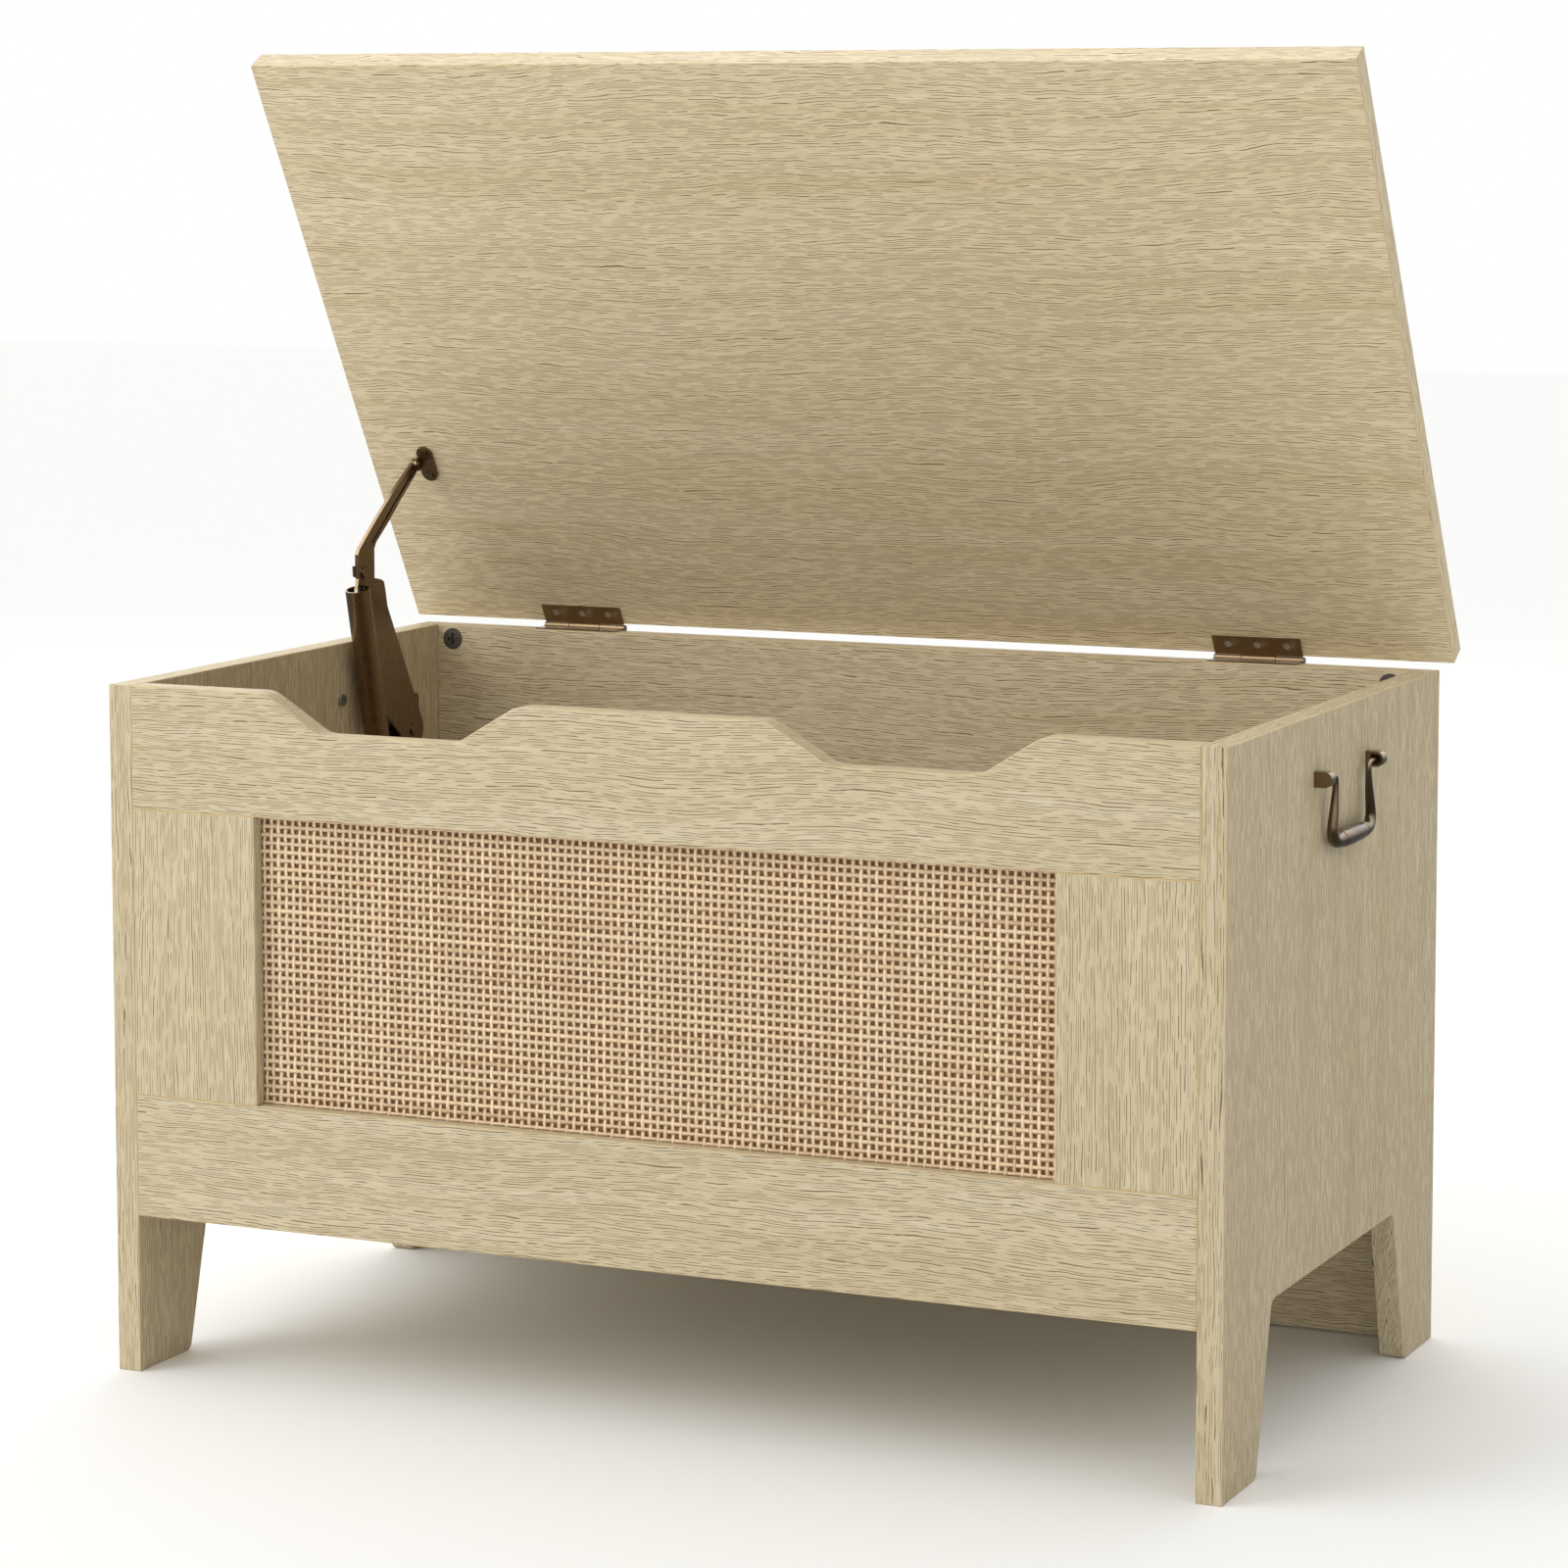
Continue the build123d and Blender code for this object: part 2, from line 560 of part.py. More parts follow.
def make_hinge(sign, side):
    """A butt hinge: lower leaf on the back panel's edge, upper leaf on the lid, and its pin."""
    centre = sign * HINGE_SPREAD
    half = HINGE_LENGTH / 2
    with BuildPart() as lower:
        slab((centre - half, BACK - LEAF_REACH, HEIGHT), (centre + half, BACK, HEIGHT + LEAF))
        for start, length in knuckles(centre, True):
            slab((start, BACK - 1, HEIGHT), (start + length, HINGE_Y - 1, HEIGHT + LEAF))
            pins([across(start, HINGE_Y, HINGE_Z)], KNUCKLE_RADIUS, length)
            pins([across(start, HINGE_Y, HINGE_Z)], PIN_RADIUS, length, Mode.SUBTRACT)
        heads = [p.offset(LEAF_SCREW_LENGTH) for p in leaf_screw_planes()]
        pins(heads, LEAF_SCREW_HEAD_RADIUS, LEAF, Mode.SUBTRACT)
    save(lower, f"{side}_hinge_lower_leaf")
    with BuildPart() as upper:
        with BuildSketch(in_lid(0, 0, -LEAF)):
            with Locations((centre, -LEAF_REACH / 2)):
                Rectangle(HINGE_LENGTH, LEAF_REACH)
            with Locations((centre, 0.5)):
                Rectangle(MIDDLE_KNUCKLE, 3)
        extrude(amount=LEAF)
        for start, length in knuckles(centre, False):
            pins([across(start, HINGE_Y, HINGE_Z)], KNUCKLE_RADIUS, length)
            pins([across(start, HINGE_Y, HINGE_Z)], PIN_RADIUS + RUNNING_GAP, length, Mode.SUBTRACT)
        heads = [p.offset(-LEAF) for p in lid_leaf_screw_planes()]
        pins(heads, LEAF_SCREW_HEAD_RADIUS, LEAF, Mode.SUBTRACT)
    save(upper, f"{side}_hinge_upper_leaf")
    with BuildPart() as pin:
        cap, cap_radius = 0.8, KNUCKLE_RADIUS - 0.3
        pins([across(centre - half, HINGE_Y, HINGE_Z)], PIN_RADIUS, HINGE_LENGTH)
        pins([across(centre - half - cap, HINGE_Y, HINGE_Z)], cap_radius, cap)
        pins([across(centre + half, HINGE_Y, HINGE_Z)], cap_radius, cap)
    save(pin, f"{side}_hinge_pin")


def make_hinge_screws():
    with BuildPart() as lower:
        pins(leaf_screw_planes(), LEAF_SCREW_RADIUS, LEAF_SCREW_LENGTH)
        heads = [p.offset(LEAF_SCREW_LENGTH) for p in leaf_screw_planes()]
        pins(heads, LEAF_SCREW_HEAD_RADIUS, LEAF)
    save(lower, "hinge_screws_back_panel")
    with BuildPart() as upper:
        pins(lid_leaf_screw_planes(), LEAF_SCREW_RADIUS, LEAF_SCREW_LENGTH)
        heads = [p.offset(-LEAF) for p in lid_leaf_screw_planes()]
        pins(heads, LEAF_SCREW_HEAD_RADIUS, LEAF)
    save(upper, "hinge_screws_lid")


# Outlines of the stay's arm and of the housing's flange, as (y, z)
ARM_FRONT = [
    (50.5, 474.0), (49.5, 488.7), (49.5, 495.0), (51.5, 498.3), (61.5, 506.4),
    (76.0, 517.7), (98.0, 533.5), (110.0, 541.2), (126.5, 552.0),
]
ARM_BACK = [
    (133.0, 546.9), (122.5, 538.5), (106.5, 526.2), (91.0, 513.6),
    (74.5, 501.8), (71.5, 497.5), (71.5, 478.0),
]
ARM_CREASE = [(122.5, 543.0), (100.0, 526.0), (86.3, 515.2), (69.0, 502.0)]
EAR_TOP = [
    (49.0, 487.3), (66.0, 488.0), (75.5, 477.3), (85.6, 475.3),
    (89.3, 473.6), (91.1, 468.1), (93.9, 456.2),
]
FLANGE_LOW = 80.0               # depth of the flange's lower front corner below the mouth


def yz_plate(start, thickness, points, discs=()):
    """A flat plate from that x: an outline with round discs joined to it."""
    with BuildSketch(Plane.YZ.offset(start)) as outline:
        with BuildLine():
            Polyline(*points, close=True)
        make_face()
        for place, radius in discs:
            with Locations(place):
                Circle(radius)
    extrude(outline.sketch, amount=thickness)


def tube_plane(depth, x=TUBE_X):
    """A plane across the stay's tube, that far below its mouth, its z up the tube."""
    y, z = along_tube(depth)
    up = (0, -sin(radians(TUBE_LEAN)), cos(radians(TUBE_LEAN)))
    return Plane(origin=(x, y, z), x_dir=(1, 0, 0), z_dir=up)


def make_stay_base():
    """The plate on the left side panel, its screws, and the pin that the stay turns on."""
    y, z = STAY_BASE
    plate_face = -INNER + BASE_PLATE
    with BuildPart() as plate:
        outline = [(y - 21, z - 25), (y + 23, z - 25), (y + 23, z + 23), (y + 8, z + 23), (y - 21, z + 2)]
        yz_plate(-INNER, BASE_PLATE, outline)
        fillet(edges().filter_by(Axis.X), 4)
        pins([across(-INNER, y, z)], STAY_PIN_RADIUS, BASE_PLATE, Mode.SUBTRACT)
        pins([across(-INNER, *place) for place in BASE_SCREWS], SMALL_SCREW_RADIUS, BASE_PLATE, Mode.SUBTRACT)
    save(plate, "stay_base_plate")
    with BuildPart() as screws:
        points = [across(-INNER - BASE_SCREW_LENGTH, *place) for place in BASE_SCREWS]
        pins(points, SMALL_SCREW_RADIUS, BASE_SCREW_LENGTH + BASE_PLATE)
        pins([across(plate_face, *place) for place in BASE_SCREWS], SMALL_HEAD_RADIUS, SMALL_HEAD)
    save(screws, "stay_base_screws")
    with BuildPart() as pin:
        far = FLANGE_X + FLANGE + SIDE_GAP
        pins([across(-INNER, y, z)], STAY_PIN_RADIUS, far + INNER)
        pins([across(plate_face, y, z)], PIN_HEAD_RADIUS + 1, FLANGE_X - SIDE_GAP - plate_face)
        pins([across(far, y, z)], PIN_HEAD_RADIUS, PIN_HEAD)
    save(pin, "stay_base_pin")


def make_stay_housing():
    """The spring tube with the flange that carries the base and knee pivots."""
    inner = TUBE_RADIUS - TUBE_WALL
    wall = TUBE_RADIUS - TUBE_WALL / 2
    seam = sqrt(wall ** 2 - (TUBE_X - FLANGE_X - FLANGE / 2) ** 2)
    y, z = STAY_BASE
    with BuildPart() as housing:
        outline = [along_tube(FLANGE_LOW, seam), along_tube(0, seam)]
        outline += [along_tube(-4, seam + 1), along_tube(-8, 2)]
        outline += EAR_TOP + [(y + 13.2, z + 4.7), (y - 3, z - 13.7)]
        yz_plate(FLANGE_X, FLANGE, outline, discs=[(STAY_BASE, STAY_BOSS_RADIUS)])
        with BuildSketch(tube_plane(TUBE_LENGTH)):
            Circle(TUBE_RADIUS)
            Circle(inner, mode=Mode.SUBTRACT)
        extrude(amount=TUBE_LENGTH)
        with BuildSketch(tube_plane(TUBE_LENGTH)):
            Circle(TUBE_RADIUS)
        extrude(amount=2)
        with BuildSketch(tube_plane(4, ARM_X + ARM / 2)):
            with Locations((0, TUBE_RADIUS)):
                Rectangle(ARM + 2 * SIDE_GAP, 2 * TUBE_WALL + 3)
        extrude(amount=5, mode=Mode.SUBTRACT)
        pins([across(FLANGE_X, y, z)], STAY_PIN_RADIUS + RUNNING_GAP, FLANGE, Mode.SUBTRACT)
        pins([across(FLANGE_X, *STAY_KNEE)], STAY_PIN_RADIUS, FLANGE, Mode.SUBTRACT)
    save(housing, "stay_housing")
    with BuildPart() as seat:
        with BuildSketch(tube_plane(SEAT_DEPTH + SEAT)):
            Circle(inner)
            with Locations((ROD_X - TUBE_X, 0)):
                Circle(ROD_RADIUS + SIDE_GAP, mode=Mode.SUBTRACT)
        extrude(amount=SEAT)
    save(seat, "stay_spring_seat")


def make_stay_spring():
    """The coil spring under the seat, as short as the piston presses it when the lid is shut."""
    low = ROD_FOOT - PISTON - ROD_TRAVEL - SPRING_WIRE
    height = low - SEAT_DEPTH - SEAT - SPRING_WIRE - 0.1
    foot = tube_plane(low)
    with BuildPart() as spring:
        with BuildLine():
            coil = Helix(
                pitch=height / SPRING_TURNS, height=height, radius=SPRING_RADIUS,
                center=foot.origin, direction=foot.z_dir,
            )
        with BuildSketch(Plane(origin=coil @ 0, z_dir=coil % 0)):
            Circle(SPRING_WIRE)
        sweep(path=coil, is_frenet=True)
    save(spring, "stay_spring")


def make_stay_rod():
    """The pull rod: a piston below the spring, and a yoke that the arm's crank pin works in."""
    y, z = along_tube(YOKE_DEPTH, YOKE_OFFSET)
    across_tube = (0, cos(radians(TUBE_LEAN)), sin(radians(TUBE_LEAN)))
    yoke = Plane(origin=(YOKE_X, y, z), x_dir=across_tube, z_dir=(1, 0, 0))
    wide, high = YOKE_SLOT
    top = YOKE_DEPTH + high / 2 + YOKE_RIM / 4
    with BuildPart() as rod:
        pins([tube_plane(ROD_FOOT, ROD_X)], ROD_RADIUS, ROD_FOOT - top)
        pins([tube_plane(ROD_FOOT)], PISTON_RADIUS, PISTON)
        with BuildSketch(yoke):
            SlotOverall(wide + 2 * YOKE_RIM, high + 2 * YOKE_RIM)
            SlotOverall(wide, high, mode=Mode.SUBTRACT)
        extrude(amount=YOKE)
    save(rod, "stay_rod")


def groove_arm():
    """The pressed groove along the arm's crease."""
    with BuildSketch(Plane.YZ.offset(ARM_X + ARM - GROOVE_DEPTH)) as groove:
        for start, end in zip(ARM_CREASE, ARM_CREASE[1:]):
            run = Vector(*end) - Vector(*start)
            with Locations(((start[0] + end[0]) / 2, (start[1] + end[1]) / 2)):
                SlotCenterToCenter(run.length, GROOVE_WIDTH, rotation=degrees(atan2(run.Y, run.X)))
    extrude(groove.sketch, amount=GROOVE_DEPTH, mode=Mode.SUBTRACT)


def make_stay_arm():
    """The cranked arm with its crank pin, and the knee rivet that joins it to the flange."""
    offset = turned(CRANK_RADIUS, 0, CRANK_ANGLE)
    crank = (STAY_KNEE[0] + offset[0], STAY_KNEE[1] + offset[1])
    heel = [
        (ARM_FRONT[0][0], ARM_FRONT[0][1] + 6), (crank[0] - HEEL_RADIUS, crank[1] + 0.5),
        (crank[0] + HEEL_RADIUS * 0.8, crank[1] - 1.5), (STAY_KNEE[0] + 1, STAY_KNEE[1] - 6),
    ]
    ends = [(STAY_LID_PIVOT, ARM_END_RADIUS)]
    with BuildPart() as arm:
        yz_plate(ARM_X, ARM, ARM_FRONT + ARM_BACK, ends)
        groove_arm()
        yz_plate(ARM_X, ARM, heel, [(crank, HEEL_RADIUS)])
        pins([across(ARM_X, *crank)], CRANK_PIN_RADIUS, YOKE_X + YOKE + SIDE_GAP - ARM_X)
        holes = [across(ARM_X, *STAY_KNEE), across(ARM_X, *STAY_LID_PIVOT)]
        pins(holes, STAY_PIN_RADIUS + RUNNING_GAP, ARM, Mode.SUBTRACT)
    save(arm, "stay_arm")
    with BuildPart() as rivet:
        far = ARM_X + ARM + SIDE_GAP
        pins([across(FLANGE_X, *STAY_KNEE)], STAY_PIN_RADIUS, far - FLANGE_X)
        pins([across(FLANGE_X - PIN_HEAD, *STAY_KNEE), across(far, *STAY_KNEE)], PIN_HEAD_RADIUS, PIN_HEAD)
    save(rivet, "stay_knee_rivet")


def bracket_screw_planes(z):
    """The lid bracket's screws at that height in the lid's plane."""
    x = TAB_X + BRACKET_WIDTH / 2
    half = BRACKET_SCREW_SPREAD / 2
    return [in_lid(x, -BRACKET_CENTRE + end * half, z) for end in (-1, 1)]


def make_lid_bracket():
    """The plate on the lid with its tab, its screws, and the rivet that the arm turns on."""
    y, z = STAY_LID_PIVOT
    height = LID_PLANE.to_local_coords(Vector(0, y, z)).Z
    tab_plane = Plane(origin=(TAB_X, y, z), x_dir=LID_PLANE.y_dir, z_dir=(1, 0, 0))
    with BuildPart() as bracket:
        with BuildSketch(in_lid(TAB_X + BRACKET_WIDTH / 2, -BRACKET_CENTRE, -BRACKET_THICKNESS)):
            SlotOverall(BRACKET_LENGTH, BRACKET_WIDTH, rotation=90)
        extrude(amount=BRACKET_THICKNESS)
        with BuildSketch(tab_plane):
            Circle(ARM_END_RADIUS)
            with Locations((0, -height / 2)):
                Rectangle(2 * ARM_END_RADIUS, -height)
        extrude(amount=TAB)
        pins([across(TAB_X, y, z)], STAY_PIN_RADIUS, TAB, Mode.SUBTRACT)
        pins(bracket_screw_planes(-BRACKET_THICKNESS), SMALL_SCREW_RADIUS, BRACKET_THICKNESS, Mode.SUBTRACT)
    save(bracket, "stay_lid_bracket")
    with BuildPart() as screws:
        length = BASE_SCREW_LENGTH + BRACKET_THICKNESS
        pins(bracket_screw_planes(-BRACKET_THICKNESS), SMALL_SCREW_RADIUS, length)
        pins(bracket_screw_planes(-BRACKET_THICKNESS - SMALL_HEAD), SMALL_HEAD_RADIUS, SMALL_HEAD)
    save(screws, "stay_bracket_screws")
    with BuildPart() as rivet:
        start = ARM_X - SIDE_GAP
        pins([across(start, y, z)], STAY_PIN_RADIUS, TAB_X + TAB - start)
        pins([across(start - PIN_HEAD, y, z), across(TAB_X + TAB, y, z)], LID_PIN_HEAD_RADIUS, PIN_HEAD)
    save(rivet, "stay_lid_rivet")


def make_handle_post(sign, end, name):
    """A hollow D-shaped post, closed on the side away from its twin."""
    y = MID_Y + end * POST_SPREAD
    outside = Plane(
        origin=(sign * SIDE, y + end * POST_WIDTH / 2, HANDLE_HEIGHT), x_dir=(sign, 0, 0), z_dir=(0, -end, 0)
    )
    straight = POST_REACH - POST_HEIGHT / 2
    hollow = POST_HEIGHT / 2 - POST_WALL
    with BuildPart() as post:
        with BuildSketch(outside):
            with Locations((straight / 2, 0)):
                Rectangle(straight, POST_HEIGHT)
            with Locations((straight, 0)):
                Circle(POST_HEIGHT / 2)
        extrude(amount=POST_WIDTH)
        with BuildSketch(outside.offset(POST_WALL)):
            with Locations(((POST_BASE + straight) / 2, 0)):
                Rectangle(straight - POST_BASE, 2 * hollow)
            with Locations((straight, 0)):
                Circle(hollow)
        extrude(amount=POST_WIDTH - POST_WALL, mode=Mode.SUBTRACT)
        tip = Plane(origin=outside.from_local_coords((BAIL_OUT, 0, POST_BLIND)), z_dir=(0, -end, 0))
        pins([tip], BAIL_TIP_RADIUS + RUNNING_GAP, POST_WALL, Mode.SUBTRACT)
        bolt = across(min(sign * SIDE, sign * (SIDE + HANDLE_BOLT_BITE)), y, HANDLE_HEIGHT)
        pins([bolt], HANDLE_BOLT_RADIUS, HANDLE_BOLT_BITE, Mode.SUBTRACT)
    save(post, name)


def make_handle_bolts(sign, name):
    with BuildPart() as bolts:
        for end in (-1, 1):
            y = MID_Y + end * POST_SPREAD
            shank = Plane(origin=(sign * INNER, y, HANDLE_HEIGHT), x_dir=(0, 1, 0), z_dir=(sign, 0, 0))
            pins([shank], HANDLE_BOLT_RADIUS, BOARD + HANDLE_BOLT_BITE)
            pins([shank.offset(-HANDLE_BOLT_HEAD)], HANDLE_BOLT_HEAD_RADIUS, HANDLE_BOLT_HEAD)
    save(bolts, name)


def taper(start, end, radii):
    """A straight round bar between two points whose radius changes along it."""
    with BuildSketch(Plane(origin=start, z_dir=end - start)) as first:
        Circle(radii[0])
    with BuildSketch(Plane(origin=end, z_dir=end - start)) as last:
        Circle(radii[1])
    loft([first.sketch, last.sketch])
    with Locations(end):
        Sphere(radii[1])


def make_bail(sign, name):
    """A hanging bail: two tips, two flared legs and a barrel grip with grooves near its ends."""
    x = sign * (SIDE + BAIL_OUT)
    low = HANDLE_HEIGHT - BAIL_DROP
    half = GRIP_HALF
    cut = 2 * (GRIP_RADIUS - GRIP_END_RADIUS + GRIP_GROOVE_DEPTH)
    grooves = [(end * (half - inset), GRIP_RADIUS) for end in (-1, 1) for inset in GRIP_GROOVE_INSETS]
    with BuildPart() as bail:
        with BuildSketch(Plane(origin=(x, MID_Y, low), x_dir=(0, 1, 0), z_dir=(sign, 0, 0))):
            with BuildLine():
                ThreePointArc((-half, GRIP_END_RADIUS), (0, GRIP_RADIUS), (half, GRIP_END_RADIUS))
                Polyline((half, GRIP_END_RADIUS), (half, 0), (-half, 0), (-half, GRIP_END_RADIUS))
            make_face()
            with Locations(*grooves):
                Rectangle(GRIP_GROOVE, cut, mode=Mode.SUBTRACT)
        revolve(axis=Axis((x, MID_Y, low), (0, 1, 0)))
        for end in (-1, 1):
            tip = Vector(x, MID_Y + end * BAIL_TIP_END, HANDLE_HEIGHT)
            top = Vector(x, MID_Y + end * BAIL_TOP_HALF, HANDLE_HEIGHT)
            knee = Vector(x, MID_Y + end * BAIL_KNEE_HALF, low + BAIL_KNEE_RISE)
            root = Vector(x, MID_Y + end * (half - 1), low)
            with BuildSketch(Plane(origin=tip, z_dir=top - tip)):
                Circle(BAIL_TIP_RADIUS)
            extrude(amount=(top - tip).length)
            taper(knee, top, (BAIL_LEG_RADIUS, BAIL_TOP_RADIUS))
            taper(root, knee, (BAIL_NECK_RADIUS, BAIL_LEG_RADIUS))
    save(bail, name)


os.makedirs("parts", exist_ok=True)
make_side_panel(-1, "left_side_panel")
make_side_panel(1, "right_side_panel")
make_back_panel()
make_bottom_panel()
make_top_rail()
make_bottom_rail()
make_stile(-1, "front_left_stile")
make_stile(1, "front_right_stile")
make_rattan_panel()
make_retaining_strips()
make_fasteners()
make_lid()
make_hinge(-1, "left")
make_hinge(1, "right")
make_hinge_screws()
make_stay_base()
make_stay_housing()
make_stay_spring()
make_stay_rod()
make_stay_arm()
make_lid_bracket()
for side_sign, side_name in ((-1, "left"), (1, "right")):
    make_handle_post(side_sign, -1, f"{side_name}_handle_front_post")
    make_handle_post(side_sign, 1, f"{side_name}_handle_rear_post")
    make_handle_bolts(side_sign, f"{side_name}_handle_bolts")
    make_bail(side_sign, f"{side_name}_handle_bail")
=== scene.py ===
import json
from math import cos, pi, radians, sin

import bpy
import numpy as np
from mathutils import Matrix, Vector


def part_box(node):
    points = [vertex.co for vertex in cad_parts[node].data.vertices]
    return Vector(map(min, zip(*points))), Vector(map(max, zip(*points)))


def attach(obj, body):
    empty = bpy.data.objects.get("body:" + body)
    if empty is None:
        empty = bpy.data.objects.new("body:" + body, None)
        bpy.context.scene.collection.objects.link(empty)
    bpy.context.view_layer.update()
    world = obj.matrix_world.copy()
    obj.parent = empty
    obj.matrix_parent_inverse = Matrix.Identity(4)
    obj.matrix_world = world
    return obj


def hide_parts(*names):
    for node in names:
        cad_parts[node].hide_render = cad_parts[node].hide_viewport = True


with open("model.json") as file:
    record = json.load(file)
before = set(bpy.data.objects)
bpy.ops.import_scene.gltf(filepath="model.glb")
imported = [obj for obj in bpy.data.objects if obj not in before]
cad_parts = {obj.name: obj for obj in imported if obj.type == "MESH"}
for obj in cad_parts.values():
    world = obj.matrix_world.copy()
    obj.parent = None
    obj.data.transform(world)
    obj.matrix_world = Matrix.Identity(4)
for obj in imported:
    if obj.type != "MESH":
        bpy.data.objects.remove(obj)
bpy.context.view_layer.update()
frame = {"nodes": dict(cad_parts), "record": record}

MM = 0.001
LID_OPEN = radians(60)           # how far the lid stands open


def linear(red, green, blue):
    """A linear colour from 0-255 sRGB values."""
    def one(value):
        value /= 255
        return value / 12.92 if value <= 0.04045 else ((value + 0.055) / 1.055) ** 2.4
    return one(red), one(green), one(blue), 1.0


# Node helpers

class Shader:
    """A new material with its Principled shader, and short calls for the nodes that feed it."""

    def __init__(self, name, roughness=0.5, metallic=0.0, specular=0.5):
        self.material = bpy.data.materials.new(name)
        self.material.use_nodes = True
        self.tree = self.material.node_tree
        self.shader = self.tree.nodes["Principled BSDF"]
        self.shader.inputs["Roughness"].default_value = roughness
        self.shader.inputs["Metallic"].default_value = metallic
        self.shader.inputs["Specular IOR Level"].default_value = specular
        self.coords = self.tree.nodes.new("ShaderNodeTexCoord")

    def link(self, source, target):
        """Joins a node's output to a socket, or sets the socket to a plain value."""
        if hasattr(source, "is_output"):
            self.tree.links.new(source, target)
        else:
            target.default_value = source

    def math(self, operation, *values):
        node = self.tree.nodes.new("ShaderNodeMath")
        node.operation = operation
        for socket, value in zip(node.inputs, values):
            self.link(value, socket)
        return node.outputs[0]

    def dot(self, vector, axis):
        node = self.tree.nodes.new("ShaderNodeVectorMath")
        node.operation = "DOT_PRODUCT"
        self.link(vector, node.inputs[0])
        node.inputs[1].default_value = axis
        return node.outputs["Value"]

    def combine(self, x, y, z):
        node = self.tree.nodes.new("ShaderNodeCombineXYZ")
        for socket, value in zip(node.inputs, (x, y, z)):
            self.link(value, socket)
        return node.outputs[0]

    def noise(self, vector, scale=1.0, detail=2.0, roughness=0.5):
        node = self.tree.nodes.new("ShaderNodeTexNoise")
        self.link(vector, node.inputs["Vector"])
        node.inputs["Scale"].default_value = scale
        node.inputs["Detail"].default_value = detail
        node.inputs["Roughness"].default_value = roughness
        return node.outputs[0]

    def ramp(self, value, *stops):
        """A colour ramp. Each stop is a place with a colour or a grey level."""
        node = self.tree.nodes.new("ShaderNodeValToRGB")
        self.link(value, node.inputs[0])
        elements = node.color_ramp.elements
        while len(elements) < len(stops):
            elements.new(1.0)
        for element, (place, colour) in zip(elements, stops):
            element.position = place
            element.color = colour if isinstance(colour, tuple) else (colour, colour, colour, 1.0)
        return node.outputs[0]

    def mix(self, factor, first, second, blend="MIX"):
        node = self.tree.nodes.new("ShaderNodeMix")
        node.data_type = "RGBA"
        node.blend_type = blend
        self.link(factor, node.inputs[0])
        self.link(first, node.inputs[6])
        self.link(second, node.inputs[7])
        return node.outputs[2]

    def bump(self, height, strength, distance):
        node = self.tree.nodes.new("ShaderNodeBump")
        node.inputs["Strength"].default_value = strength
        node.inputs["Distance"].default_value = distance
        self.link(height, node.inputs["Height"])
        self.link(node.outputs[0], self.shader.inputs["Normal"])

    def colour(self, value):
        self.link(value, self.shader.inputs["Base Color"])

    def rough(self, value):
        self.link(value, self.shader.inputs["Roughness"])


# Materials

OAK_MID = linear(202, 188, 157)
OAK_LIGHT = linear(215, 203, 175)
OAK_DARK = linear(189, 173, 140)
OAK_PORE = linear(106, 88, 57)
EDGE_BAND = linear(210, 184, 134)
PORE_ROWS = 600.0                # rows of pores in a metre across the grain

LID_NORMAL = (0.0, sin(LID_OPEN), cos(LID_OPEN))
LID_ACROSS = (0.0, cos(LID_OPEN), -sin(LID_OPEN))


